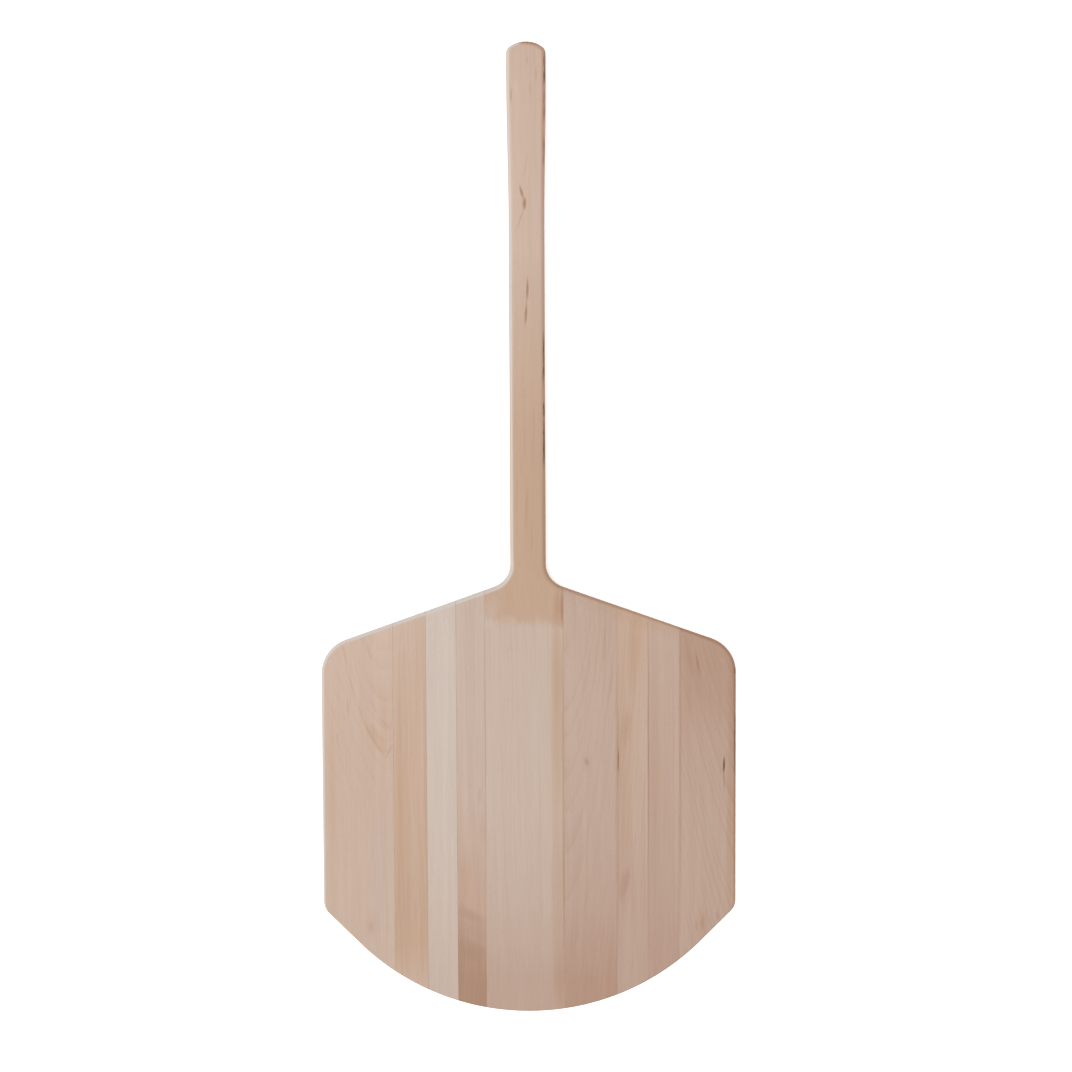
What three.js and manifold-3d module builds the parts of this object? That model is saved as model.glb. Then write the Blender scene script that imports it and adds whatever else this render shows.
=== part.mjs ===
// A wooden pizza peel: a square blade with clipped front corners and a long straight handle.
//
// The peel is an edge-glued board. One wide centre board runs the whole length, as blade and
// handle, and four narrower staves are glued to each side of it. Each joint is a thin glue line.
//
// Millimetres. X runs across the blade, Y along the handle from the blade's tip to the grip, and
// Z is up out of the baking face. The origin is the centre of the blade on its flat underside.

import * as THREE from 'three';
import { ParametricGeometry } from 'three/addons/geometries/ParametricGeometry.js';
import { mergeVertices } from 'three/addons/utils/BufferGeometryUtils.js';
import Module from 'manifold-3d';

// ---- driving dimensions: plan ----------------------------------------------------------------

const TOTAL_LENGTH = 1066.8; // 42 in, tip to grip end
const BLADE_WIDTH = 457.2; // 18 in
const TIP_Y = - BLADE_WIDTH / 2;
const END_Y = TIP_Y + TOTAL_LENGTH;

const TIP_RADIUS = 267; // the rounded leading edge
const TIP_ARC = THREE.MathUtils.degToRad(45); // half of the arc, up to the clipped corners
const CLIP_ROUNDING = 18; // where a clipped corner meets a side
const SIDE_TOP_Y = 179.5; // where a side would meet its shoulder with no rounding
const SIDE_ROUNDING = 40;
const SHOULDER_SLOPE = THREE.MathUtils.degToRad(19.5);
const NECK_ROUNDING = 27; // the hollow corner between shoulder and handle

const HANDLE_WIDTH = 39; // at the neck
const GRIP_WIDTH = 43; // at the free end
const FLARE_START_Y = 640;
const FLARE_END_Y = 800;
const END_RADIUS = 31; // the shallow arc across the grip end
const END_ROUNDING = 8.4; // its two corners

// ---- driving dimensions: thickness -----------------------------------------------------------

// The underside is flat. The upper face is planed down from the handle to the tip in steps:
// each entry is a place along Y and the thickness there, with straight slopes between them.
const THICKNESS = [
	[ TIP_Y, 2.8 ], // leading edge
	[ - 150, 6 ], // back of the long front bevel
	[ 204, 11 ], // foot of the neck's ramp
	[ 273, 19 ], // top of the ramp
	[ END_Y, 19 ],
];

const EDGE_SHARE = 0.42; // edge rounding, as a share of the local thickness
const EDGE_ROUNDING_MAX = 6;

// ---- driving dimensions: joints --------------------------------------------------------------

const GLUE_THICKNESS = 0.25;
const SEAMS = [ - 149.5, - 113, - 79.75, - 48.25, 38.75, 97.5, 131.25, 166 ]; // X of each joint

// Boards and joints from left to right, looking down with the handle pointing away.
const BOARDS = [
	{ name: 'left_edge_stave', color: 0xccb3a1 },
	{ name: 'left_outer_stave', color: 0xc9aa94 },
	{ name: 'left_middle_stave', color: 0xcfbeb2 },
	{ name: 'left_inner_stave', color: 0xc8b2a2 },
	{ name: 'handle_board', color: 0xc7b09f },
	{ name: 'right_inner_stave', color: 0xc2a998 },
	{ name: 'right_middle_stave', color: 0xc2a693 },
	{ name: 'right_outer_stave', color: 0xbfa391 },
	{ name: 'right_edge_stave', color: 0xbca08f },
];

const GLUE_LINES = [
	'glue_left_edge',
	'glue_left_outer',
	'glue_left_middle',
	'glue_left_inner',
	'glue_right_inner',
	'glue_right_middle',
	'glue_right_outer',
	'glue_right_edge',
];

const GLUE_COLOR = 0xa5805c;
const WOOD_ROUGHNESS = 0.6;
const GLUE_ROUGHNESS = 0.45;

// ---- how finely the curves are divided -------------------------------------------------------

const CHORD_ERROR = 0.15; // how far a facet may stand off its arc
const FLARE_STEPS = 6;
const EDGE_STEPS = 3; // facets of each rounded edge
const SHORTEST_CURVE = 1e-3; // shorter links between two arcs are left out
const MERGE_DISTANCE = 1e-5;

// ---- plan outline ----------------------------------------------------------------------------

function addArc(outline, centre, radius, from, to) {

	outline.absarc(centre.x, centre.y, radius, from, to, to < from);

}

// Rounds the corner where the leg from start meets the leg to end, and stops at the arc's end.
function addRoundedCorner(outline, start, corner, end, radius) {

	const back = start.clone().sub(corner).normalize();
	const ahead = end.clone().sub(corner).normalize();
	const half = Math.acos(back.dot(ahead)) / 2;
	const centre = back.clone().add(ahead).normalize().multiplyScalar(radius / Math.sin(half)).add(corner);
	const reach = radius / Math.tan(half);
	const first = back.multiplyScalar(reach).add(corner);
	const last = ahead.multiplyScalar(reach).add(corner);
	const from = first.clone().sub(centre);
	const to = last.clone().sub(centre);
	const startAngle = Math.atan2(from.y, from.x);
	const turn = Math.atan2(from.cross(to), from.dot(to));
	outline.lineTo(first.x, first.y);
	addArc(outline, centre, radius, startAngle, startAngle + turn);

}

// The right-hand half of the plan, from the middle of the tip to the middle of the grip end.
function halfOutline() {

	const side = BLADE_WIDTH / 2;
	const neck = HANDLE_WIDTH / 2;
	const grip = GRIP_WIDTH / 2;

	const clipStart = new THREE.Vector2(
		TIP_RADIUS * Math.sin(TIP_ARC),
		TIP_Y + TIP_RADIUS * (1 - Math.cos(TIP_ARC)),
	);
	const clipCorner = new THREE.Vector2(side, clipStart.y + (side - clipStart.x) * Math.tan(TIP_ARC));
	const sideCorner = new THREE.Vector2(side, SIDE_TOP_Y);
	const neckCorner = new THREE.Vector2(neck, SIDE_TOP_Y + (side - neck) * Math.tan(SHOULDER_SLOPE));
	const flareStart = new THREE.Vector2(neck, FLARE_START_Y);

	const outline = new THREE.Path();
	outline.moveTo(0, TIP_Y);
	addArc(outline, new THREE.Vector2(0, TIP_Y + TIP_RADIUS), TIP_RADIUS, - Math.PI / 2, TIP_ARC - Math.PI / 2);
	addRoundedCorner(outline, clipStart, clipCorner, sideCorner, CLIP_ROUNDING);
	addRoundedCorner(outline, clipCorner, sideCorner, neckCorner, SIDE_ROUNDING);
	addRoundedCorner(outline, sideCorner, neckCorner, flareStart, NECK_ROUNDING);

	const flareMiddle = (FLARE_START_Y + FLARE_END_Y) / 2;
	outline.lineTo(neck, FLARE_START_Y);
	outline.bezierCurveTo(neck, flareMiddle, grip, flareMiddle, grip, FLARE_END_Y);

	const endCentre = new THREE.Vector2(0, END_Y - END_RADIUS);
	const roundingX = grip - END_ROUNDING;
	const rise = Math.sqrt((END_RADIUS - END_ROUNDING) ** 2 - roundingX ** 2);
	const roundingCentre = new THREE.Vector2(roundingX, endCentre.y + rise);
	const meeting = Math.atan2(rise, roundingX);
	outline.lineTo(grip, roundingCentre.y);
	addArc(outline, roundingCentre, END_ROUNDING, 0, meeting);
	addArc(outline, endCentre, END_RADIUS, meeting, Math.PI / 2);
	return outline;

}

function stepsOf(curve) {

	if (curve.isLineCurve) return 1;
	if (! curve.isEllipseCurve) return FLARE_STEPS;
	const angle = Math.abs(curve.aEndAngle - curve.aStartAngle);
	return Math.ceil(angle / (2 * Math.acos(1 - CHORD_ERROR / curve.xRadius)));

}

// A station is a place on the outline with the outline's outward direction there. A clockwise
// arc is a hollow corner, so the outward direction points at its centre.
function stationAt(curve, share) {

	const { x, y } = curve.getPoint(share);
	if (curve.isEllipseCurve) {

		const radius = curve.aClockwise ? - curve.xRadius : curve.xRadius;
		return { x, y, outX: (x - curve.aX) / radius, outY: (y - curve.aY) / radius };

	}

	const tangent = curve.getTangent(share);
	return { x, y, outX: tangent.y, outY: - tangent.x };

}

// Stations along the half outline, with one more wherever the slope of the upper face changes.
function outlineStations() {

	const curves = halfOutline().curves.filter((curve) => curve.getLength() > SHORTEST_CURVE);
	const stations = [ stationAt(curves[ 0 ], 0) ];
	for (const curve of curves) {

		const steps = stepsOf(curve);
		for (let step = 1; step <= steps; step ++) stations.push(stationAt(curve, step / steps));

	}

	for (const [ y ] of THICKNESS.slice(1, - 1)) {

		const after = stations.findIndex((station) => station.y > y);
		const before = stations[ after - 1 ];
		const next = stations[ after ];
		const share = (y - before.y) / (next.y - before.y);
		const blend = (key) => THREE.MathUtils.lerp(before[ key ], next[ key ], share);
		stations.splice(after, 0, { x: blend('x'), y, outX: blend('outX'), outY: blend('outY') });

	}

	return stations;

}

// ---- the blank: the whole peel as one shape, before it is divided into boards -----------------

function thicknessAt(y) {

	const last = THICKNESS.length - 1;
	let step = 1;
	while (step < last && y > THICKNESS[ step ][ 0 ]) step ++;
	const [ fromY, from ] = THICKNESS[ step - 1 ];
	const [ toY, to ] = THICKNESS[ step ];
	return THREE.MathUtils.mapLinear(y, fromY, toY, from, to);

}

function edgeRounding(y) {

	return Math.min(EDGE_ROUNDING_MAX, EDGE_SHARE * thicknessAt(y));

}

// One section right round the peel at a station: the middle of the underside, the right-hand
// edge from bottom to top, the middle of the upper face and the left-hand edge from top to bottom.
function sectionPoints(station) {

	const radius = edgeRounding(station.y);
	const rightEdge = [];
	for (let step = 0; step <= EDGE_STEPS; step ++) {

		const angle = (step / EDGE_STEPS) * (Math.PI / 2);
		const inset = radius * (1 - Math.sin(angle));
		const height = radius * (1 - Math.cos(angle));
		rightEdge.push({
			x: station.x - station.outX * inset,
			y: station.y - station.outY * inset,
			height,
		});

	}

	const lower = rightEdge.map(({ x, y, height }) => new THREE.Vector3(x, y, height));
	const upper = rightEdge.map(({ x, y, height }) => new THREE.Vector3(x, y, thicknessAt(y) - height));
	const right = [ ...lower, ...upper.reverse() ];
	const left = right.map(({ x, y, z }) => new THREE.Vector3(- x, y, z)).reverse();
	const bottomMiddle = new THREE.Vector3(0, lower[ 0 ].y, 0);
	const topMiddle = new THREE.Vector3(0, lower[ 0 ].y, right[ right.length - 1 ].z);
	return [ bottomMiddle, ...right, topMiddle, ...left ];

}

// ---- solids ----------------------------------------------------------------------------------

const wasm = await Module();
wasm.setup();

function toSolid(geometry) {

	geometry.deleteAttribute('normal');
	geometry.deleteAttribute('uv');
	const merged = mergeVertices(geometry, MERGE_DISTANCE);
	const corners = merged.index.array;
	const triangles = [];
	for (let i = 0; i < corners.length; i += 3) {

		const [ a, b, c ] = corners.subarray(i, i + 3);
		if (a !== b && b !== c && c !== a) triangles.push(a, b, c);

	}

	return new wasm.Manifold(new wasm.Mesh({
		numProp: 3,
		vertProperties: new Float32Array(merged.attributes.position.array),
		triVerts: new Uint32Array(triangles),
	}));

}

function toGeometry(solid) {

	const mesh = solid.getMesh();
	const geometry = new THREE.BufferGeometry();
	geometry.setAttribute('position', new THREE.BufferAttribute(mesh.vertProperties, 3));
	geometry.setIndex(new THREE.BufferAttribute(mesh.triVerts, 1));
	geometry.computeVertexNormals();
	return geometry;

}

function makeBlank() {

	const sections = outlineStations().map(sectionPoints);
	const along = sections.length - 1;
	const around = sections[ 0 ].length;
	const surface = (u, v, target) => {

		const section = sections[ Math.round(u * along) ];
		target.copy(section[ Math.round(v * around) % around ]);

	};

	return toSolid(new ParametricGeometry(surface, along, around));

}

// The part of the blank between two planes across X.
function cutBoard(blank, fromX, toX) {

	const slab = new THREE.BoxGeometry(toX - fromX, 2 * TOTAL_LENGTH, 2 * BLADE_WIDTH);
	slab.translate((fromX + toX) / 2, 0, 0);
	return toGeometry(blank.intersect(toSolid(slab)));

}

// ---- the peel --------------------------------------------------------------------------------

function addPiece(peel, name, geometry, color, roughness) {

	const material = new THREE.MeshStandardMaterial({ color, roughness, metalness: 0 });
	const mesh = new THREE.Mesh(geometry, material);
	mesh.name = name;
	peel.add(mesh);

}

function makePeel() {

	const peel = new THREE.Group();
	const blank = makeBlank();
	const halfGlue = GLUE_THICKNESS / 2;
	const boundaries = [ - BLADE_WIDTH, ...SEAMS, BLADE_WIDTH ];

	BOARDS.forEach(({ name, color }, i) => {

		const geometry = cutBoard(blank, boundaries[ i ] + halfGlue, boundaries[ i + 1 ] - halfGlue);
		addPiece(peel, name, geometry, color, WOOD_ROUGHNESS);

	});

	GLUE_LINES.forEach((name, i) => {

		const geometry = cutBoard(blank, SEAMS[ i ] - halfGlue, SEAMS[ i ] + halfGlue);
		addPiece(peel, name, geometry, GLUE_COLOR, GLUE_ROUGHNESS);

	});

	return peel;

}

export default makePeel();
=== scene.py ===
"""A wooden pizza peel: fine boards, glue lines and solid-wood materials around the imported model.

Metres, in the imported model's frame: X runs across the blade, Y from the blade's tip to the grip
and Z up out of the baking face. The origin is the centre of the blade on its flat underside.
"""

import math

import bmesh
import bpy
from mathutils import Matrix, Vector


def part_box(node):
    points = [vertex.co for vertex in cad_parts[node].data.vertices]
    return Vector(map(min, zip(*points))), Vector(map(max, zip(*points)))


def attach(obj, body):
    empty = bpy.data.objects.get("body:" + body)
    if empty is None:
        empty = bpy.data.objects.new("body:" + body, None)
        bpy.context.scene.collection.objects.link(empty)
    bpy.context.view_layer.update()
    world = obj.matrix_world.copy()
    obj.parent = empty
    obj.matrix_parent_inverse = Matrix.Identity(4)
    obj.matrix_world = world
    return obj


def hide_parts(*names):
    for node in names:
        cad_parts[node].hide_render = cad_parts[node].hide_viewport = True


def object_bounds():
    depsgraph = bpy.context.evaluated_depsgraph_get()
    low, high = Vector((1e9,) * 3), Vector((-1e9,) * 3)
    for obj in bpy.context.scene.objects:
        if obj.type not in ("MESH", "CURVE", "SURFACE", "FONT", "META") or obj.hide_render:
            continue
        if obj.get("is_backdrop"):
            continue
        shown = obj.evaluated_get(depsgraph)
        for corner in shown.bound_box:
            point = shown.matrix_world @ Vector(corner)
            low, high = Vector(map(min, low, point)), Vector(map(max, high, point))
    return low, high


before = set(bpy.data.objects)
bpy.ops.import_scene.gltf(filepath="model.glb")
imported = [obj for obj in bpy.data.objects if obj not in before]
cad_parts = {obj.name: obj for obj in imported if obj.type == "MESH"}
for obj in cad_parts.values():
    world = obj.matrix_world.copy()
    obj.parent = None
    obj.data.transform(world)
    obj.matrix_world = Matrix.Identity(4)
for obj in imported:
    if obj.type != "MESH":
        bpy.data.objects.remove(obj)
cad_low, cad_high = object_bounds()

MM = 0.001

# ---- sizes -----------------------------------------------------------------------------------

SIDE_X = cad_high.x
TIP_Y = cad_low.y
END_Y = cad_high.y
HANDLE_THICKNESS = cad_high.z

TIP_RADIUS = 267 * MM            # the rounded leading edge
TIP_ARC = math.radians(45)       # half of the arc, up to the clipped corners
CLIP_ROUNDING = 18 * MM          # where a clipped corner meets a side
SIDE_TOP_Y = 179.5 * MM          # where a side would meet its shoulder with no rounding
SIDE_ROUNDING = 40 * MM
SHOULDER_SLOPE = math.radians(19.5)
NECK_ROUNDING = 27 * MM          # the hollow corner between shoulder and handle

NECK_X = 19.5 * MM               # half of the handle's width at the neck
GRIP_X = 21.5 * MM               # and at the free end
FLARE_START_Y = 640 * MM
FLARE_END_Y = 800 * MM
END_RADIUS = 31 * MM             # the shallow arc across the grip end
END_ROUNDING = 8.4 * MM          # its two corners

TIP_THICKNESS = 2.8 * MM
# Where the slope of the upper face changes: the place along Y, the thickness there on straight
# slopes, and how far to each side the change is eased.
SLOPE_CHANGES = (
    (-150 * MM, 6 * MM, 12 * MM),              # back of the long front bevel
    (204 * MM, 11 * MM, 5 * MM),               # foot of the neck's ramp
    (273 * MM, HANDLE_THICKNESS, 16 * MM),     # top of the ramp
)

EDGE_SHARE = 0.42                # edge rounding, as a share of the local thickness
EDGE_ROUNDING_MAX = 6 * MM
SEAM_BEVEL = 0.06 * MM           # the sanded arris on each side of a glue line

ARC_PITCH = 1.5 * MM             # spacing of the sections along curved edges
LINE_PITCH = 8 * MM              # and along straight ones
EDGE_STEPS = 8                   # facets of each rounded edge
SHARP_ANGLE = math.radians(35)   # edges at least this sharp are shaded as corners
MERGE_DISTANCE = 0.001 * MM      # corners of the blank closer than this are one corner

# ---- plan outline: stations are (place, outward direction) pairs on the right-hand half --------


def flat(x, y):
    """A place or a direction in plan."""
    return Vector((x, y))


def arc_stations(centre, radius, start, end, hollow=False):
    """Stations along an arc. A hollow corner's outward direction points at its centre."""
    count = max(3, math.ceil(radius * abs(end - start) / ARC_PITCH))
    sign = -1 if hollow else 1
    found = []
    for step in range(count + 1):
        angle = start + (end - start) * step / count
        away = flat(math.cos(angle), math.sin(angle))
        found.append((centre + radius * away, sign * away))
    return found


def line_stations(start, end):
    """Stations between two points, without the ends, which the neighbouring arcs hold."""
    along = end - start
    count = max(1, math.ceil(along.length / LINE_PITCH))
    outward = flat(along.y, -along.x).normalized()
    return [(start + along * step / count, outward) for step in range(1, count)]


def corner_stations(before, corner, after, radius):
    """Stations round a corner between two legs, at a radius tangent to both."""
    back = (before - corner).normalized()
    ahead = (after - corner).normalized()
    half = back.angle(ahead) / 2
    centre = corner + (back + ahead).normalized() * radius / math.sin(half)
    reach = radius / math.tan(half)
    first = corner + back * reach - centre
    last = corner + ahead * reach - centre
    start = math.atan2(first.y, first.x)
    turn = math.atan2(first.x * last.y - first.y * last.x, first.dot(last))
    return arc_stations(centre, radius, start, start + turn, hollow=turn < 0)


def flare_stations():
    """The grip's gentle widening, eased at both ends."""
    count = math.ceil((FLARE_END_Y - FLARE_START_Y) / LINE_PITCH)
    found = []
    for step in range(count + 1):
        share = step / count
        width = (GRIP_X - NECK_X) * share * share * (3 - 2 * share)
        slope = (GRIP_X - NECK_X) * 6 * share * (1 - share) / (FLARE_END_Y - FLARE_START_Y)
        y = FLARE_START_Y + (FLARE_END_Y - FLARE_START_Y) * share
        found.append((flat(NECK_X + width, y), flat(1, -slope).normalized()))
    return found


def end_stations():
    """The grip end: a rounded corner, then half of the shallow arc."""
    rounding_x = GRIP_X - END_ROUNDING
    rise = math.sqrt((END_RADIUS - END_ROUNDING) ** 2 - rounding_x ** 2)
    arc_centre = flat(0, END_Y - END_RADIUS)
    meeting = math.atan2(rise, rounding_x)
    rounding = arc_stations(flat(rounding_x, arc_centre.y + rise), END_ROUNDING, 0, meeting)
    return rounding + arc_stations(arc_centre, END_RADIUS, meeting, math.pi / 2)[1:]


def outline_stations():
    """The right-hand half of the outline, from the middle of the tip to the middle of the end."""
    clip_start = flat(TIP_RADIUS * math.sin(TIP_ARC), TIP_Y + TIP_RADIUS * (1 - math.cos(TIP_ARC)))
    clip_corner = flat(SIDE_X, clip_start.y + (SIDE_X - clip_start.x) * math.tan(TIP_ARC))
    side_corner = flat(SIDE_X, SIDE_TOP_Y)
    neck_corner = flat(NECK_X, SIDE_TOP_Y + (SIDE_X - NECK_X) * math.tan(SHOULDER_SLOPE))
    stretches = [
        arc_stations(flat(0, TIP_Y + TIP_RADIUS), TIP_RADIUS, -math.pi / 2, TIP_ARC - math.pi / 2),
        corner_stations(clip_start, clip_corner, side_corner, CLIP_ROUNDING),
        corner_stations(clip_corner, side_corner, neck_corner, SIDE_ROUNDING),
        corner_stations(side_corner, neck_corner, flat(NECK_X, FLARE_START_Y), NECK_ROUNDING),
        flare_stations(),
        end_stations(),
    ]
    found = list(stretches[0])
    for stretch in stretches[1:]:
        found += line_stations(found[-1][0], stretch[0][0]) + stretch
    return found


# ---- the blank: the whole peel as one skin, before it is divided into boards -------------------


def eased_step(distance, ease):
    """Zero before a change of slope, the distance after it, and a parabola between the two."""
    if distance <= -ease:
        return 0
    if distance >= ease:
        return distance
    return (distance + ease) ** 2 / (4 * ease)


def thickness_at(y):
    """The peel's thickness: straight slopes, with an easing at each change between them."""
    found = TIP_THICKNESS
    slope = 0
    changes = [(TIP_Y, TIP_THICKNESS, 0), *SLOPE_CHANGES, (END_Y, HANDLE_THICKNESS, 0)]
    for (y0, t0, ease), (y1, t1, _) in zip(changes, changes[1:]):
        new_slope = (t1 - t0) / (y1 - y0)
        found += (new_slope - slope) * (eased_step(y - y0, ease) if ease else y - y0)
        slope = new_slope
    return found


def section_points(place, outward):
    """One section right round the peel at a station, from the middle of the underside."""
    radius = min(EDGE_ROUNDING_MAX, EDGE_SHARE * thickness_at(place.y))
    edge = []
    for step in range(EDGE_STEPS + 1):
        angle = math.pi / 2 * step / EDGE_STEPS
        inset = place - outward * radius * (1 - math.sin(angle))
        edge.append((inset.x, inset.y, radius * (1 - math.cos(angle))))
    lower = [Vector(point) for point in edge]
    upper = [Vector((x, y, thickness_at(y) - height)) for x, y, height in reversed(edge)]
    right = lower + upper
    left = [Vector((-point.x, point.y, point.z)) for point in reversed(right)]
    bottom_middle = Vector((0, lower[0].y, 0))
    top_middle = Vector((0, upper[-1].y, upper[-1].z))
    return [bottom_middle, *right, top_middle, *left]


def make_blank():
    """Joins the sections into one closed skin."""
    blank = bmesh.new()
    rows = []
    for place, outward in outline_stations():
        rows.append([blank.verts.new(point) for point in section_points(place, outward)])
    around = len(rows[0])
    for row, next_row in zip(rows, rows[1:]):
        for i in range(around):
            j = (i + 1) % around
            blank.faces.new((row[i], row[j], next_row[j], next_row[i]))
    bmesh.ops.remove_doubles(blank, verts=blank.verts, dist=MERGE_DISTANCE)
    bmesh.ops.recalc_face_normals(blank, faces=blank.faces)
    return blank


# ---- shader nodes ------------------------------------------------------------------------------

NOISE_ROUGHNESS = 0.55           # how strong each finer layer of a noise is, next to the one before


class Pattern:
    """A noise from 0 to 1 that is drawn out along the grain.

    across and along: the sizes of its cells in millimetres; seed: what it adds to a board's own
    seed; detail: how many finer layers it has. Where rise is given, the noise is turned into a
    smooth step from low to high, between those two levels.
    """

    def __init__(self, across, along, seed, detail, rise=None, low=0.0, high=1.0):
        self.across = across
        self.along = along
        self.seed = seed
        self.detail = detail
        self.rise = rise
        self.low = low
        self.high = high


class NodeMaker:
    """Adds nodes to one material. Patterns and colours are passed on as output sockets."""

    def __init__(self, name):
        self.material = bpy.data.materials.new(name)
        self.material.use_nodes = True
        self.tree = self.material.node_tree
        self.shader = self.tree.nodes["Principled BSDF"]

    def feed(self, socket, value):
        """Links the value to the socket if it is a socket itself, and otherwise sets it there."""
        if isinstance(value, bpy.types.NodeSocket):
            self.tree.links.new(value, socket)
        else:
            socket.default_value = value

    def node(self, kind, inputs, output=0, **settings):
        """Adds a node with these inputs and settings, and returns one of its outputs."""
        made = self.tree.nodes.new("ShaderNode" + kind)
        for setting, value in settings.items():
            setattr(made, setting, value)
        for key, value in inputs.items():
            self.feed(made.inputs[key], value)
        return made.outputs[output]

    def math(self, operation, a, b=0.0, c=0.0):
        return self.node("Math", {0: a, 1: b, 2: c}, operation=operation)

    def place_mm(self):
        """Where a point is in the peel, in millimetres."""
        place = self.node("TexCoord", {}, "Object")
        return self.node("VectorMath", {0: place, "Scale": 1 / MM}, operation="SCALE")

    def noise(self, place, pattern, seed=0.0):
        """The pattern's noise, for a board with this seed."""
        cell = (1 / pattern.across, 1 / pattern.along, 1 / pattern.across)
        inputs = {
            "Vector": self.node("VectorMath", {0: place, 1: cell}, operation="MULTIPLY"),
            "W": seed + pattern.seed,
            "Scale": 1.0,
            "Detail": pattern.detail,
            "Roughness": NOISE_ROUGHNESS,
        }
        raw = self.node("TexNoise", inputs, "Fac", noise_dimensions="4D")
        if pattern.rise is None:
            return raw
        return self.ease(raw, *pattern.rise, pattern.low, pattern.high)

    def wander(self, place, pattern, seed):
        """The pattern's noise with zero as its middle, so that it goes to both sides."""
        return self.math("SUBTRACT", self.noise(place, pattern, seed), 0.5)

    def ease(self, value, start, end, low=0.0, high=1.0):
        """A smooth step from low to high as the value goes from start to end."""
        inputs = {"Value": value, "From Min": start, "From Max": end, "To Min": low, "To Max": high}
        return self.node("MapRange", inputs, interpolation_type="SMOOTHSTEP")

    def between(self, share, first, second):
        """The pair of values this share of the way from the first pair to the second."""
        return [self.math("MULTIPLY_ADD", share, b - a, a) for a, b in zip(first, second)]

    def tinted(self, colour, tint, amount, blend="MULTIPLY"):
        """The colour multiplied by a tint, or mixed with it, as far as the amount says."""
        inputs = {"Factor_Float": amount, "A_Color": colour, "B_Color": (*tint, 1)}
        mix = self.tree.nodes.new("ShaderNodeMix")
        mix.data_type = "RGBA"
        mix.blend_type = blend
        sockets = {socket.identifier: socket for socket in mix.inputs}
        for identifier, value in inputs.items():
            self.feed(sockets[identifier], value)
        return next(socket for socket in mix.outputs if socket.identifier == "Result_Color")

    def along_peel(self, y, tones):
        """The board's ground colour, from stops that give a place along Y and the tone there."""
        ramp = self.tree.nodes.new("ShaderNodeValToRGB")
        share = self.math("DIVIDE", self.math("SUBTRACT", y, TIP_Y / MM), (END_Y - TIP_Y) / MM)
        self.feed(ramp.inputs[0], share)
        stops = ramp.color_ramp.elements
        stops.remove(stops[0])
        for index, (stop_y, tone) in enumerate(sorted(tones)):
            position = (stop_y * MM - TIP_Y) / (END_Y - TIP_Y)
            stop = stops[0] if index == 0 else stops.new(position)
            stop.position = position
            stop.color = (*base_colour(tone), 1)
        return ramp.outputs[0]

    def add_relief(self, height, strength, depth):
        """Makes the surface look raised where the height is greater."""
        inputs = {"Height": height, "Strength": strength, "Distance": depth}
        self.feed(self.shader.inputs["Normal"], self.node("Bump", inputs))


# ---- wood --------------------------------------------------------------------------------------

FACE_LIGHT = 1.52                # how much brighter a lit upper face is than its base colour


def base_colour(tone):
    """The linear base colour that shows as this sRGB tone, 0 to 255, on a lit upper face."""
    found = []
    for level in tone:
        share = level / 255
        linear = share / 12.92 if share <= 0.04045 else ((share + 0.055) / 1.055) ** 2.4
        found.append(linear / FACE_LIGHT)
    return found


# Tints of the figures and of the near-black dashes: what a board's colour is multiplied by.
HONEY = (0.93, 0.86, 0.77)
UMBER = (0.66, 0.44, 0.34)
NEAR_BLACK = (0.22, 0.20, 0.20)
PALE = (1.05, 1.08, 1.12)
ROSE = (1.02, 1.13, 1.24)
STRAW = (1.08, 1.05, 0.97)
COOL = (0.965, 1.0, 1.05)

# Tints of the grain, of the end grain and of the painted shade on the edges, and the tone of the
# painted highlight on the edges.
RING_TINT = (0.90, 0.82, 0.74)   # the dark late wood at a growth ring's outer edge
FIBRE_TINT = (0.90, 0.87, 0.84)
STREAK_TINT = (0.91, 0.87, 0.83)
PORE_TINT = (0.80, 0.70, 0.62)
END_GRAIN_TINT = (0.90, 0.84, 0.78)
PAINTED_SHADE_TINT = (0.90, 0.75, 0.65)    # painted shade: the edges that face +X, away from the key light, in brown
PAINTED_HIGHLIGHT_TONE = (202, 194, 188)        # painted highlight: the edges that face -X, towards the key light, pale

GRAIN_BEND = Pattern(90, 260, 0.0, 1)
GRAIN_WAVER = Pattern(14, 60, 0.7, 2)
RING_STRENGTH = Pattern(25, 90, 2.1, 2, rise=(0.3, 0.7), low=0.25)
STREAKS = Pattern(7, 420, 3.3, 3, rise=(0.35, 0.65))
FIBRES = Pattern(0.9, 45, 4.2, 3, rise=(0.3, 0.7))
PORES = Pattern(0.4, 6, 5.1, 1, rise=(0.64, 0.76))
TONE_WANDER = Pattern(9, 14, 9.3, 3)
FIGURE_WAVER = Pattern(3, 16, 6.4, 2)
DASH_DRIFT = Pattern(40, 12, 10.4, 3)
DASH_BREAKS = Pattern(1.2, 20, 7.5, 3, rise=(0.32, 0.55), low=0.1)
WOOD_ROUGHNESS = Pattern(5, 60, 8.8, 2, rise=(0.25, 0.75), low=0.52, high=0.66)

# How far a noise moves what it acts on, from one side to the other, in millimetres.
GRAIN_BEND_REACH = 12.0
GRAIN_WAVER_REACH = 3.0
TONE_WANDER_REACH = 22.0
FIGURE_WAVER_REACH = 1.6

RING_DRIFT = 3.0                 # how many rings the count drifts by, so that the gaps vary
RING_DRIFT_PACE = 0.3            # how quickly the drift changes from ring to ring
LATE_WOOD_POWER = 4.0            # how sharply a ring darkens towards its outer edge
FADED_RINGS = 0.2                # what is left of the rings below a board's rings_above
FIBRE_AMOUNT = 0.42
PORE_AMOUNT = 0.5
FIGURE_CORE = 0.15               # the share of a figure's size inside which it is at its strongest

SPECULAR = 0.3                   # bare wood reflects less than the shader's usual 0.5
RING_RELIEF = 0.6                # how high late wood stands, next to a fibre
RELIEF_STRENGTH = 0.3
RELIEF_DEPTH = 0.12 * MM

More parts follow.
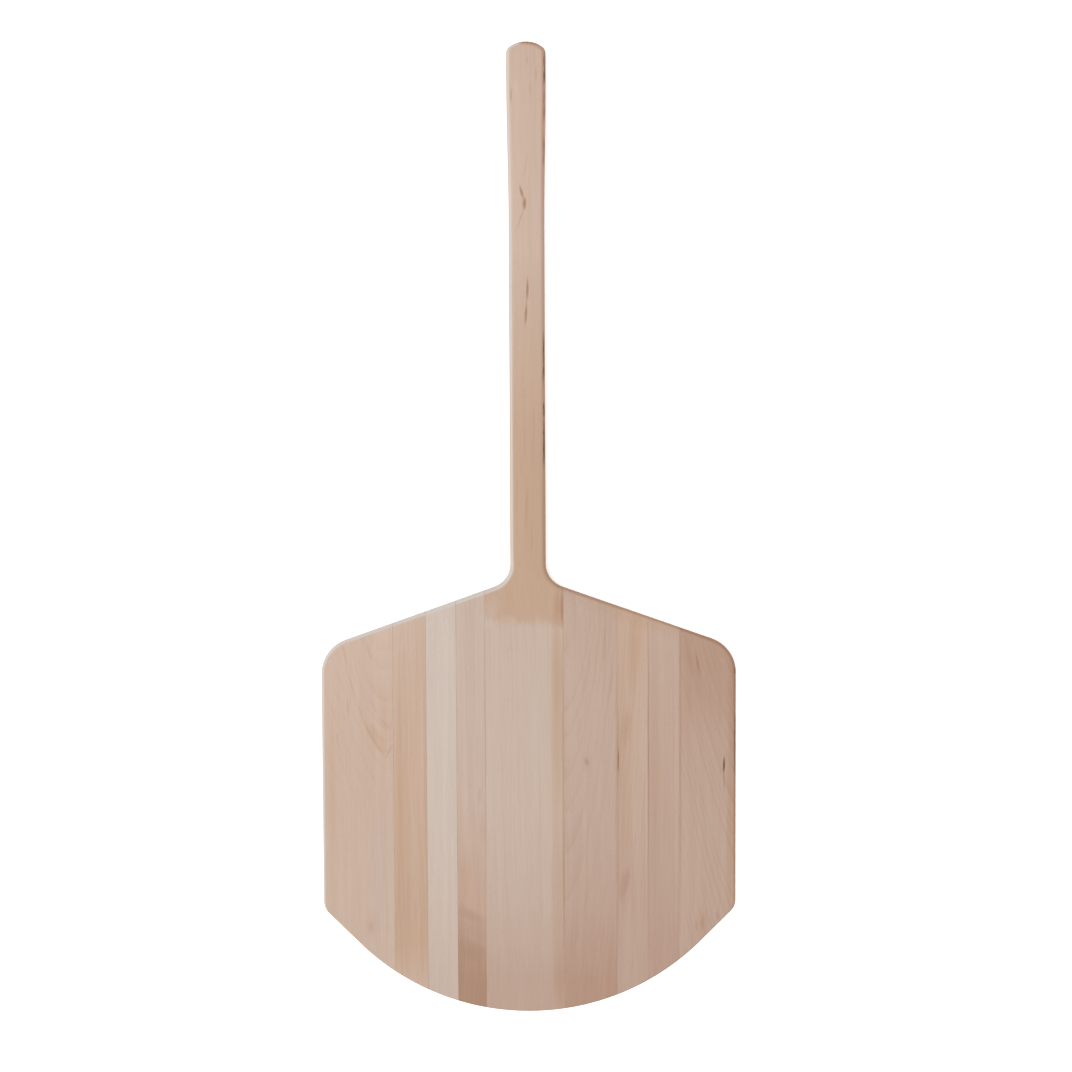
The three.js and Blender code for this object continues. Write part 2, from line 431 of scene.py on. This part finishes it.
# Edges. The slope is 0 on the flat faces and 1 on the upright ones. Each pair says where
# something begins and where it is full.
END_GRAIN_TURN = (0.3, 0.95)             # by how squarely a face looks along the grain
SHADED_SIDE_LEAN = 0.6                        # how much the shaded side, away from the key light, turns towards the grip end
SHADED_SIDE_TURN = (0.3, 0.6)                 # by how far an edge faces the shaded side
NARROW_ACROSS = (205, 150)               # the painted shade's brown band narrows in from the blade's side, in mm
NARROW_ALONG = (760, 660)                # and down from the grip
PAINTED_SHADE_WIDE = (0.08, 0.5)               # by slope, on the blade's side and on the grip
PAINTED_SHADE_NARROW = (0.3, 0.8)              # and in between
PAINTED_SHADE_RISE = (-0.1, 0.3)               # by how far an edge faces up
PAINTED_SHADE_BELOW = 0.55                     # the strength that is left where it faces down
HANDLE_BEGINS = (240, 300)               # the painted highlight's band narrows here along Y, in mm
HIGHLIGHT_TURN_X = (-0.2, -0.32)            # by how far an edge faces -X
HIGHLIGHT_TURN_Y = (-0.6, -0.2)             # and how little it faces the tip
HIGHLIGHT_BLADE = (0.12, 0.4)               # by slope, on the blade
HIGHLIGHT_HANDLE = (0.35, 0.55)             # and on the handle
HIGHLIGHT_BLADE_RISE = (0.0, 0.25)          # by how far an edge faces up, on the blade
HIGHLIGHT_HANDLE_RISE = (0.45, 0.7)         # and on the handle
HIGHLIGHT_BELOW = 0.12                      # the painted highlight's strength on the side
HIGHLIGHT_ABOVE = 0.9                       # and on the arris
DASH_DRIFT_REACH = 0.5                 # how far a dash's upper border drifts, in slope
DASH_UPPER = (0.5, 0.7)                # by slope, at that border
DASH_LOWER = (0.34, 0.56)              # by how far the edge faces up, at its lower border
DASH_ENDS = (1.15, 0.4)                # by the distance from its middle, in half lengths


class Board:
    """How one board was sawn, in millimetres.

    tones: (y, tone) stops of the ground colour along the board.
    pith: the x and the depth of the tree's centre line; slant: how it tilts against the board.
    ring_gap: the growth rings' spacing; rings and streaks: how strong each pattern is.
    marks: (x, y, half width, half length, lean in degrees to +X, tint, strength) of each figure.
    tone_slope: how far along y the tones' borders shift for each millimetre across the board.
    rings_above: the two places along y between which the rings fade in.
    the near-black dashes: (y, half length, strength) of each run of them on the upper arris of the
    +X edge.
    """

    def __init__(
        self, seed, tones, pith, slant, ring_gap, rings, streaks, marks,
        tone_slope=0.0, rings_above=(-900, -800), dark_dashes=(),
    ):
        self.seed = seed
        self.tones = tones
        self.pith = pith
        self.slant = slant
        self.ring_gap = ring_gap
        self.rings = rings
        self.streaks = streaks
        self.marks = marks
        self.tone_slope = tone_slope
        self.rings_above = rings_above
        self.dark_dashes = dark_dashes


# The warm band along the right shoulder, which crosses several boards.
SHOULDER_FIGURE = (118, 212, 120, 13, 19.5, HONEY, 0.4)

BOARDS = {
    "left_edge_stave": Board(
        seed=1.3,
        tones=(
            (215, (208, 183, 166)), (180, (205, 179, 162)), (76, (202, 176, 158)),
            (-150, (200, 176, 160)),
        ),
        pith=(-158, 14), slant=-0.33, ring_gap=7.6, rings=0.36, streaks=0.35,
        rings_above=(-30, 70),
        marks=(
            (-217, -10, 7, 190, 0, HONEY, 0.45),
            (-166, -62, 15, 110, 0, COOL, 0.8),
            (-199, 114, 1.9, 11, -5, HONEY, 0.8),
            (-211.5, 78, 1.7, 13, -6, HONEY, 0.6),
            (-176, -131, 4.5, 9, 0, UMBER, 0.18),
            (-176, -131, 12, 24, 0, UMBER, 0.12),
            (-161, 112, 11, 52, -6, HONEY, 0.4),
            (-168, 80, 9, 30, -30, HONEY, 0.65),
            (-202, 172, 1.8, 24, -9, HONEY, 0.6),
            (-194.5, 138, 1.8, 24, -14, HONEY, 0.65),
            (-186, 111, 1.8, 20, -19, HONEY, 0.6),
            (-176, 87, 2.8, 20, -25, HONEY, 0.6),
            (-165, 68, 2.0, 17, -32, HONEY, 0.8),
            (-154.5, 65, 1.8, 14, 26, HONEY, 0.8),
            (-188, 152, 1.6, 34, -13, HONEY, 0.45),
            (-176, 178, 1.8, 22, -18, HONEY, 0.55),
            (-171, 116, 1.6, 14, -24, UMBER, 0.18),
            (-159, 97, 1.5, 14, -42, UMBER, 0.18),
        ),
    ),
    "left_outer_stave": Board(
        seed=4.1,
        tones=(
            (209, (205, 181, 163)), (165, (203, 176, 157)), (-14, (200, 171, 149)),
            (-103, (197, 167, 144)), (-150, (196, 165, 141)), (-194, (202, 176, 158)),
        ),
        pith=(-260, 70), slant=0.02, ring_gap=4.5, rings=0.4, streaks=0.6,
        marks=(
            (-144, 0, 8, 190, 0, HONEY, 0.6),
            (-115, 30, 2.2, 190, 0, HONEY, 0.28),
            (-121, 60, 7, 110, 0, PALE, 0.3),
        ),
    ),
    "left_middle_stave": Board(
        seed=7.7,
        tones=((76, (207, 191, 180)), (-60, (205, 188, 176)), (-194, (200, 180, 166))),
        pith=(60, 40), slant=0.015, ring_gap=7, rings=0.2, streaks=0.35,
        marks=((-82, -20, 4, 220, 0, STREAK_TINT, 0.3),),
    ),
    "left_inner_stave": Board(
        seed=9.2,
        tones=(
            (88, (201, 180, 166)), (-22, (200, 177, 162)), (-91, (196, 169, 151)),
            (-141, (193, 162, 142)), (-148, (187, 156, 138)), (-172, (182, 149, 130)),
            (-190, (176, 142, 121)), (-228, (172, 136, 113)),
        ),
        pith=(-190, 50), slant=0.03, ring_gap=5, rings=0.35, streaks=0.5, tone_slope=0.5,
        marks=(
            (-71, -74, 8, 38, 0, HONEY, 0.5),
            (-57, 5, 8, 52, 0, COOL, 0.6),
            (-54.4, 15, 2.5, 14, 0, UMBER, 0.2),
            (-52, -20, 5, 26, -3, UMBER, 0.1),
            (-66, -119, 22, 8, 24, UMBER, 0.16),
            (-68, -126, 14, 2.5, 32, PALE, 0.5),
            (-61, -146, 20, 5, 28, PALE, 0.6),
            (-66, -160, 16, 14, 0, UMBER, 0.1),
        ),
    ),
    "handle_board": Board(
        seed=12.9,
        tones=(
            (829, (203, 176, 158)), (765, (205, 179, 162)), (614, (205, 179, 162)),
            (560, (201, 175, 156)), (451, (197, 167, 144)), (420, (195, 164, 140)),
            (300, (194, 162, 137)), (214, (195, 164, 140)), (203, (200, 179, 164)),
            (0, (200, 179, 164)), (-103, (196, 173, 158)), (-194, (189, 161, 145)),
        ),
        pith=(-120, 45), slant=0.012, ring_gap=6, rings=0.3, streaks=0.22, tone_slope=0.06,
        dark_dashes=(
            (838, 5, 0.75), (810, 22, 1.0), (770, 19, 0.7), (721, 17, 0.8), (496, 31, 1.0),
            (441, 9, 1.0), (405, 29, 1.0),
        ),
        marks=(
            (-5.2, 676, 2.2, 11, -14, UMBER, 0.8),
            (-2.2, 664, 3.0, 9.5, 4, UMBER, 0.95),
            (-6.5, 648, 1.3, 18, 20, UMBER, 0.34),
            (0.8, 572, 2.3, 16, 0, UMBER, 0.8),
            (-1, 545, 2.0, 16, 4, UMBER, 0.75),
            (-0.3, 560, 1.0, 38, 2, UMBER, 0.35),
            (-10.5, 787, 3.2, 15, -3, PALE, 1.0),
            (-16, 780, 1.8, 12, 0, UMBER, 0.48),
            (11, 803, 1.2, 12, 0, UMBER, 0.32),
            (4.5, 787, 1.1, 11, 0, UMBER, 0.26),
            (1.4, 817, 1.4, 6, 0, UMBER, 0.26),
            (-0.5, 705, 1.1, 18, 8, UMBER, 0.22),
            (9, 640, 5, 90, 0, PALE, 0.5),
            (-3, 405, 1.4, 26, 0, UMBER, 0.16),
            (6.5, 405, 1.8, 52, 0, UMBER, 0.1),
            (-7, 380, 1.5, 24, 3, UMBER, 0.12),
            (-12.3, 352, 1.5, 30, 3, UMBER, 0.14),
            (-1.2, 336, 1.8, 32, 4, UMBER, 0.17),
            (4, 300, 1.8, 34, 0, UMBER, 0.1),
            # On the ramp's -X side: the blade's paler colour, with a painted highlight where a
            # facet turned to the key light would be.
            (-42, 222, 15, 26, 16, ROSE, 0.9),
            (30.5, 60, 9, 260, 0, HONEY, 0.75),
            (31, 165, 9, 80, 0, HONEY, 0.6),
            (33, 110, 13, 130, 0, HONEY, 0.52),
            (33, -115, 12, 110, 0, HONEY, 0.62),
            (34, -195, 12, 60, 0, HONEY, 0.9),
            (37.6, 20, 2.6, 260, 0, HONEY, 0.85),
            (38, 60, 1.4, 240, 0, UMBER, 0.2),
            (38.2, -90, 1.1, 110, 0, UMBER, 0.4),
            # Along the +X edge on the ramp: painted shade of a raised edge turned from the light,
            # which the blank does not have.
            (37, 224, 2.6, 30, 0, UMBER, 0.6),
            (32, 227, 7, 24, 0, UMBER, 0.2),
            (-47.8, 60, 1.0, 190, 0, UMBER, 0.24),
            (-42, 45, 6, 170, 0, PALE, 0.45),
            (4, 75, 14, 150, 0, PALE, 0.22),
            (-18.5, 181, 0.6, 9, -14, UMBER, 0.25),
            (-13.5, 181, 0.6, 9, 14, UMBER, 0.25),
        ),
    ),
    "right_inner_stave": Board(
        seed=15.4,
        tones=(
            (209, (194, 168, 152)), (120, (195, 170, 154)), (-14, (193, 167, 152)),
            (-103, (189, 161, 145)), (-194, (181, 147, 127)),
        ),
        pith=(36, 50), slant=-0.1, ring_gap=4.1, rings=0.55, streaks=0.4,
        marks=(
            SHOULDER_FIGURE,
            (50, 105, 11, 125, 0, PALE, 0.35),
            (64, 52.7, 2.8, 6, -12, UMBER, 0.42),
            (64, 53, 7, 15, 0, UMBER, 0.1),
            (84, 185, 2.4, 40, 2, UMBER, 0.2),
            (91, 140, 2.0, 30, 8, UMBER, 0.14),
            (56, 91, 1.7, 14, 11, UMBER, 0.16),
            (40.5, 110, 2.2, 130, 0, UMBER, 0.05),
            (96.4, 20, 1.4, 240, 0, UMBER, 0.24),
        ),
    ),
    "right_middle_stave": Board(
        seed=18.8,
        tones=(
            (209, (199, 170, 150)), (120, (197, 170, 151)), (0, (196, 169, 151)),
            (-103, (190, 161, 144)), (-194, (189, 161, 145)),
        ),
        pith=(240, 60), slant=0.05, ring_gap=4.5, rings=0.4, streaks=0.5,
        marks=(
            SHOULDER_FIGURE,
            (117, 180, 10, 72, 3, HONEY, 0.75),
            (107, 90, 9, 32, 8, HONEY, 0.8),
            (106, -5, 8, 130, 0, HONEY, 0.5),
            (100, 62, 3.5, 60, 0, HONEY, 0.5),
            (98.7, 55, 1.6, 20, 0, UMBER, 0.75),
            (98.5, 20, 1.0, 220, 0, UMBER, 0.4),
            (103.5, -88, 6.5, 26, 4, UMBER, 0.24),
            (108.5, -79, 4, 20, 6, UMBER, 0.26),
            (126, 80, 5, 80, 0, PALE, 0.55),
            (129.6, 0, 1.7, 240, 0, PALE, 0.9),
        ),
    ),
    "right_outer_stave": Board(
        seed=21.5,
        tones=(
            (209, (195, 169, 152)), (30, (192, 163, 146)), (-59, (189, 161, 144)),
            (-150, (186, 155, 138)),
        ),
        pith=(20, 50), slant=-0.01, ring_gap=6, rings=0.25, streaks=0.4,
        marks=(
            SHOULDER_FIGURE,
            (132.2, 60, 1.0, 210, 0, UMBER, 0.55),
            (163.4, 0, 3.0, 240, 0, PALE, 0.95),
            (139.5, 40, 7, 190, 0, HONEY, 0.45),
        ),
    ),
    "right_edge_stave": Board(
        seed=24.6,
        tones=(
            (165, (183, 151, 131)), (120, (186, 154, 135)), (76, (190, 161, 144)),
            (-14, (192, 165, 148)), (-150, (192, 164, 148)),
        ),
        pith=(245, 70), slant=-0.15, ring_gap=3.4, rings=0.75, streaks=0.4,
        dark_dashes=((153, 4, 0.9), (85, 22, 1.0), (56, 20, 1.0)),
        marks=(
            (186, 162, 1.6, 19, -9, UMBER, 0.46),
            (184, 150, 9, 46, -17, UMBER, 0.13),
            (170, 150, 5, 62, 0, PALE, 0.5),
            (167.3, 0, 1.3, 220, 0, UMBER, 0.3),
            (212.5, 165, 3.5, 8, -32, STRAW, 0.9),
            (215.4, 49, 1.8, 13, 2, NEAR_BLACK, 1.0),
            (215.7, 31, 1.1, 17, 0, UMBER, 0.5),
            (192, -128, 9, 26, 0, HONEY, 0.55),
            (192, -128, 3.0, 13, 0, UMBER, 0.2),
            (185, -133, 2.0, 8, 0, UMBER, 0.2),
            (208.5, -121, 3.0, 7, -10, UMBER, 0.28),
            (226, 10, 11, 270, 0, HONEY, 0.9),
        ),
    ),
}


def wandering_grain(maker, place, board):
    """The place, moved from side to side as the grain wanders along the board."""
    bend = maker.wander(place, GRAIN_BEND, board.seed)
    waver = maker.wander(place, GRAIN_WAVER, board.seed)
    waver_shift = maker.math("MULTIPLY", waver, GRAIN_WAVER_REACH)
    shift = maker.math("MULTIPLY_ADD", bend, GRAIN_BEND_REACH, waver_shift)
    sideways = maker.node("CombineXYZ", {0: shift})
    return maker.node("VectorMath", {0: place, 1: sideways}, operation="ADD")


def late_wood_at(maker, grain, y, board):
    """How dark each growth ring is: 0 at its inner edge and 1 at its outer edge.

    The rings are counted outwards from the pith, which runs at a slight tilt to the board.
    """
    pith_x, pith_depth = board.pith
    pith = (pith_x, 0, -pith_depth)
    from_pith = maker.node("VectorMath", {0: grain, 1: pith}, operation="SUBTRACT")
    flattened = maker.node("VectorMath", {0: from_pith, 1: (1, 0, 1)}, operation="MULTIPLY")
    distance = maker.node("VectorMath", {0: flattened}, "Value", operation="LENGTH")
    ring_place = maker.math("MULTIPLY_ADD", y, board.slant, distance)
    count = maker.math("DIVIDE", ring_place, board.ring_gap)
    drift_place = maker.math("MULTIPLY", count, RING_DRIFT_PACE)
    drift_inputs = {"W": drift_place, "Scale": 1.0, "Detail": 1.0}
    drift = maker.node("TexNoise", drift_inputs, "Fac", noise_dimensions="1D")
    phase = maker.math("FRACT", maker.math("MULTIPLY_ADD", drift, RING_DRIFT, count))
    return maker.math("POWER", phase, LATE_WOOD_POWER)


def add_figures(maker, place, board, colour):
    """The board's marks: ellipses with edges that waver a little."""
    waver = maker.wander(place, FIGURE_WAVER, board.seed)
    nudge = maker.node("CombineXYZ", {0: maker.math("MULTIPLY", waver, FIGURE_WAVER_REACH)})
    moved = maker.node("VectorMath", {0: place, 1: nudge}, operation="ADD")
    moved = maker.node("VectorMath", {0: moved, 1: (1, 1, 0)}, operation="MULTIPLY")
    for mark_x, mark_y, half_width, half_length, lean, tint, strength in board.marks:
        inputs = {
            "Vector": moved,
            "Location": (mark_x, mark_y, 0),
            "Rotation": (0, 0, -math.radians(lean)),
            "Scale": (half_width, half_length, 1),
        }
        inside = maker.node("Mapping", inputs, vector_type="TEXTURE")
        reach = maker.node("VectorMath", {0: inside}, "Value", operation="LENGTH")
        colour = maker.tinted(colour, tint, maker.ease(reach, 1.0, FIGURE_CORE, 0.0, strength))
    return colour


def add_dark_dashes(maker, place, y, shaded_side, slope, normal_z, board, colour):
    """Short near-black dashes on the upper arris of the edges that face +X, broken up along their
    length.
    """
    drift = maker.wander(place, DASH_DRIFT, board.seed)
    height = maker.math("MULTIPLY_ADD", drift, DASH_DRIFT_REACH, slope)
    upper = maker.ease(height, *DASH_UPPER)
    on_arris = maker.math("MULTIPLY", upper, maker.ease(normal_z, *DASH_LOWER))
    broken = maker.math("MULTIPLY", on_arris, maker.noise(place, DASH_BREAKS, board.seed))
    dashed = maker.math("MULTIPLY", broken, shaded_side)
    for dash_y, half_length, strength in board.dark_dashes:
        away = maker.math("ABSOLUTE", maker.math("SUBTRACT", y, dash_y))
        outer, inner = (half_length * share for share in DASH_ENDS)
        within = maker.ease(away, outer, inner, 0.0, strength)
        colour = maker.tinted(colour, NEAR_BLACK, maker.math("MULTIPLY", within, dashed))
    return colour


def add_edges(maker, place, x, y, board, colour):
    """End grain, painted shade and near-black dashes on the edges facing +X, and a painted
    highlight on those facing -X.
    """
    normal = maker.node("TexCoord", {}, "Normal")
    normal_x, normal_y, normal_z = (maker.node("SeparateXYZ", {0: normal}, axis) for axis in "XYZ")
    slope = maker.math("SINE", maker.math("ARCCOSINE", normal_z))
    # Which way an edge faces in plan.
    toward_x = maker.math("DIVIDE", normal_x, slope)
    toward_y = maker.math("DIVIDE", normal_y, slope)

    end_grain = maker.ease(maker.math("ABSOLUTE", normal_y), *END_GRAIN_TURN)
    colour = maker.tinted(colour, END_GRAIN_TINT, end_grain)

    # Painted shade: a brown band on the edges that face +X and the grip end, away from the key
    # light. It is wider on the blade's side and on the grip than in between.
    toward_shaded_side = maker.math("MULTIPLY_ADD", toward_y, SHADED_SIDE_LEAN, toward_x)
    shaded_side = maker.ease(toward_shaded_side, *SHADED_SIDE_TURN)
    narrow = maker.math("MULTIPLY", maker.ease(x, *NARROW_ACROSS), maker.ease(y, *NARROW_ALONG))
    band = maker.ease(slope, *maker.between(narrow, PAINTED_SHADE_WIDE, PAINTED_SHADE_NARROW))
    painted_shade = maker.math("MULTIPLY", shaded_side, band)
    upward = maker.ease(normal_z, *PAINTED_SHADE_RISE, PAINTED_SHADE_BELOW, 1.0)
    painted_shade = maker.math("MULTIPLY", painted_shade, upward)
    colour = maker.tinted(colour, PAINTED_SHADE_TINT, painted_shade)

    # Painted highlight: a pale band on the edges that face -X, towards the key light. It is wider
    # on the blade than on the handle.
    on_handle = maker.ease(y, *HANDLE_BEGINS)
    highlight_x = maker.ease(toward_x, *HIGHLIGHT_TURN_X)
    painted_highlight = maker.math("MULTIPLY", highlight_x, maker.ease(toward_y, *HIGHLIGHT_TURN_Y))
    band = maker.ease(slope, *maker.between(on_handle, HIGHLIGHT_BLADE, HIGHLIGHT_HANDLE))
    painted_highlight = maker.math("MULTIPLY", painted_highlight, band)
    rise = maker.between(on_handle, HIGHLIGHT_BLADE_RISE, HIGHLIGHT_HANDLE_RISE)
    upward = maker.ease(normal_z, *rise, HIGHLIGHT_BELOW, HIGHLIGHT_ABOVE)
    painted_highlight = maker.math("MULTIPLY", painted_highlight, upward)
    colour = maker.tinted(colour, base_colour(PAINTED_HIGHLIGHT_TONE), painted_highlight, "MIX")

    if not board.dark_dashes:
        return colour
    return add_dark_dashes(maker, place, y, shaded_side, slope, normal_z, board, colour)


def make_wood(name, board):
    """Solid wood: every pattern is a function of the place, so it runs right through the board."""
    maker = NodeMaker(name)
    place = maker.place_mm()
    x, y = (maker.node("SeparateXYZ", {0: place}, axis) for axis in "XY")
    grain = wandering_grain(maker, place, board)
    late_wood = late_wood_at(maker, grain, y, board)
    streak = maker.noise(grain, STREAKS, board.seed)
    fibre = maker.noise(grain, FIBRES, board.seed)
    pore = maker.noise(grain, PORES, board.seed)

    ring_amount = maker.math("MULTIPLY", late_wood, maker.noise(place, RING_STRENGTH, board.seed))
    ring_amount = maker.math("MULTIPLY", ring_amount, board.rings)
    ring_fade = maker.ease(y, *board.rings_above, FADED_RINGS, 1.0)
    ring_amount = maker.math("MULTIPLY", ring_amount, ring_fade)

    tone_y = maker.math("MULTIPLY_ADD", x, board.tone_slope, y)
    tone_wander = maker.wander(place, TONE_WANDER, board.seed)
    tone_y = maker.math("MULTIPLY_ADD", tone_wander, TONE_WANDER_REACH, tone_y)
    colour = maker.along_peel(tone_y, board.tones)
    colour = maker.tinted(colour, RING_TINT, ring_amount)
    colour = maker.tinted(colour, STREAK_TINT, maker.math("MULTIPLY", streak, board.streaks))
    colour = maker.tinted(colour, FIBRE_TINT, maker.math("MULTIPLY", fibre, FIBRE_AMOUNT))
    colour = maker.tinted(colour, PORE_TINT, maker.math("MULTIPLY", pore, PORE_AMOUNT))
    colour = add_figures(maker, place, board, colour)
    colour = add_edges(maker, place, x, y, board, colour)
    maker.feed(maker.shader.inputs["Base Color"], colour)
    maker.feed(maker.shader.inputs["Roughness"], maker.noise(grain, WOOD_ROUGHNESS, board.seed))
    maker.shader.inputs["Specular IOR Level"].default_value = SPECULAR

    relief = maker.math("MULTIPLY_ADD", late_wood, RING_RELIEF, fibre)
    relief = maker.math("SUBTRACT", relief, pore)
    maker.add_relief(relief, RELIEF_STRENGTH, RELIEF_DEPTH)
    return maker.material


GLUE_TONES = ((250, (190, 160, 136)), (-228, (182, 150, 128)))
GLUE_TINT = (0.80, 0.70, 0.60)   # its darker lengths
GLUE_SHADES = Pattern(30, 22, 3.1, 3, rise=(0.35, 0.65))
GLUE_ROUGHNESS = Pattern(4, 9, 5.6, 2, rise=(0.3, 0.7), low=0.3, high=0.5)
GLUE_LUMPS = Pattern(0.8, 2.5, 9.4, 2)
GLUE_LUMP_STRENGTH = 0.3
GLUE_LUMP_DEPTH = 0.1 * MM


def make_glue():
    """Dried wood glue: amber, with lighter and darker lengths."""
    maker = NodeMaker("dried_glue")
    place = maker.place_mm()
    ground = maker.along_peel(maker.node("SeparateXYZ", {0: place}, "Y"), GLUE_TONES)
    colour = maker.tinted(ground, GLUE_TINT, maker.noise(place, GLUE_SHADES))
    maker.feed(maker.shader.inputs["Base Color"], colour)
    maker.feed(maker.shader.inputs["Roughness"], maker.noise(place, GLUE_ROUGHNESS))
    maker.add_relief(maker.noise(place, GLUE_LUMPS), GLUE_LUMP_STRENGTH, GLUE_LUMP_DEPTH)
    return maker.material


# ---- boards and glue lines ---------------------------------------------------------------------


def cut_side(solid, x, side):
    """Cuts away what lies beyond x, closes the cut and returns the new face."""
    everything = [*solid.verts, *solid.edges, *solid.faces]
    cut = bmesh.ops.bisect_plane(
        solid, geom=everything, plane_co=(x, 0, 0), plane_no=(side, 0, 0), clear_outer=True
    )
    rim = [edge for edge in cut["geom_cut"] if isinstance(edge, bmesh.types.BMEdge)]
    return bmesh.ops.contextual_create(solid, geom=rim)["faces"]


def mark_sharp_edges(solid):
    """Shades the solid smoothly, except across its sharp edges."""
    for face in solid.faces:
        face.smooth = True
    for edge in solid.edges:
        edge.smooth = not edge.is_manifold or edge.calc_face_angle() < SHARP_ANGLE


def cut_piece(blank, name, from_x, to_x, bevel=0.0):
    """The part of the blank between two planes, as an object. None means the blank's own edge."""
    solid = blank.copy()
    walls = []
    for x, side in ((from_x, -1), (to_x, 1)):
        if x is not None:
            walls += cut_side(solid, x, side)
    if bevel:
        rims = {edge for wall in walls for edge in wall.edges}
        bmesh.ops.bevel(
            solid, geom=list(rims), offset=bevel, segments=1, profile=0.5, affect="EDGES"
        )
    bmesh.ops.recalc_face_normals(solid, faces=solid.faces)
    mark_sharp_edges(solid)
    mesh = bpy.data.meshes.new(name)
    solid.to_mesh(mesh)
    solid.free()
    piece = bpy.data.objects.new(name, mesh)
    bpy.context.scene.collection.objects.link(piece)
    return piece


def place_piece(piece, node, material):
    """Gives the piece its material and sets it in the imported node's place."""
    piece.data.materials.append(material)
    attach(piece, "root")
    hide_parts(node)


blank = make_blank()
BOARD_NAMES = [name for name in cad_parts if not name.startswith("glue_")]
GLUE_NAMES = [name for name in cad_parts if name.startswith("glue_")]

glue_material = make_glue()
for node in [*BOARD_NAMES, *GLUE_NAMES]:
    low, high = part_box(node)
    from_x = low.x if low.x > cad_low.x else None
    to_x = high.x if high.x < cad_high.x else None
    is_board = node in BOARD_NAMES
    piece = cut_piece(blank, node + "_piece", from_x, to_x, SEAM_BEVEL if is_board else 0)
    material = make_wood("wood_" + node, BOARDS[node]) if is_board else glue_material
    place_piece(piece, node, material)
blank.free()

# ---- floor, light and camera -------------------------------------------------------------------

FLOOR_HALF = 30                  # half of the floor's width, in metres
FLOOR_DROP = 0.2 * MM            # the floor lies this far under the peel's flat underside
FLOOR_WHITE = 0.96
FLOOR_ROUGHNESS = 0.9
FLOOR_GLOW = 0.28                # its faint light of its own, which thins the shadow
SKY_STRENGTH = 1.05
KEY_PLACE = Vector((-2.7, 0.3, 3.8))
KEY_TARGET = Vector((0.1, 0.3, 0))
KEY_SIZE = 5.0                   # metres along each side of the square light
KEY_POWER = 180                  # watts

floor_mesh = bpy.data.meshes.new("floor")
signs = ((-1, -1), (1, -1), (1, 1), (-1, 1))
corners = [(FLOOR_HALF * sign_x, FLOOR_HALF * sign_y, 0) for sign_x, sign_y in signs]
floor_mesh.from_pydata(corners, [], [(0, 1, 2, 3)])
floor = bpy.data.objects.new("floor", floor_mesh)
bpy.context.scene.collection.objects.link(floor)
floor_material = bpy.data.materials.new("floor_white")
floor_material.use_nodes = True
shader = floor_material.node_tree.nodes["Principled BSDF"]
shader.inputs["Base Color"].default_value = (FLOOR_WHITE, FLOOR_WHITE, FLOOR_WHITE, 1)
shader.inputs["Roughness"].default_value = FLOOR_ROUGHNESS
shader.inputs["Emission Color"].default_value = (1, 1, 1, 1)
shader.inputs["Emission Strength"].default_value = FLOOR_GLOW
floor.data.materials.append(floor_material)
floor.location.z = -FLOOR_DROP
floor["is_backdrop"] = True

world = bpy.data.worlds.new("studio")
bpy.context.scene.world = world
world.use_nodes = True
background = world.node_tree.nodes["Background"]
background.inputs["Color"].default_value = (1, 1, 1, 1)
background.inputs["Strength"].default_value = SKY_STRENGTH

key_data = bpy.data.lights.new("key", "AREA")
key_data.shape = "SQUARE"
key_data.size = KEY_SIZE
key_data.energy = KEY_POWER
key = bpy.data.objects.new("key", key_data)
key.location = KEY_PLACE
key.rotation_euler = (KEY_TARGET - KEY_PLACE).to_track_quat("-Z", "Y").to_euler()
bpy.context.scene.collection.objects.link(key)

LENS = 70                        # focal length and sensor width, in the camera's millimetres
SENSOR_WIDTH = 36
CAMERA_TILT = math.radians(3.49)         # off straight down, so that it looks towards the tip
CAMERA_ROLL = math.radians(-0.249)       # about its own axis
CAMERA_DISTANCE = 2.2958                 # from the point that it looks at, in metres
LOOK_AT = Vector((0.00886, 0.3024, 0))
camera_data = bpy.data.cameras.new("camera")
camera_data.lens = LENS
camera_data.sensor_width = SENSOR_WIDTH
camera = bpy.data.objects.new("camera", camera_data)
turn = Matrix.Rotation(-CAMERA_TILT, 4, "X") @ Matrix.Rotation(CAMERA_ROLL, 4, "Z")
back_off = Matrix.Translation((0, 0, CAMERA_DISTANCE))
camera.matrix_world = Matrix.Translation(LOOK_AT) @ turn @ back_off
bpy.context.scene.collection.objects.link(camera)
bpy.context.scene.camera = camera
bpy.context.scene.view_settings.view_transform = "Standard"

low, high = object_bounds()
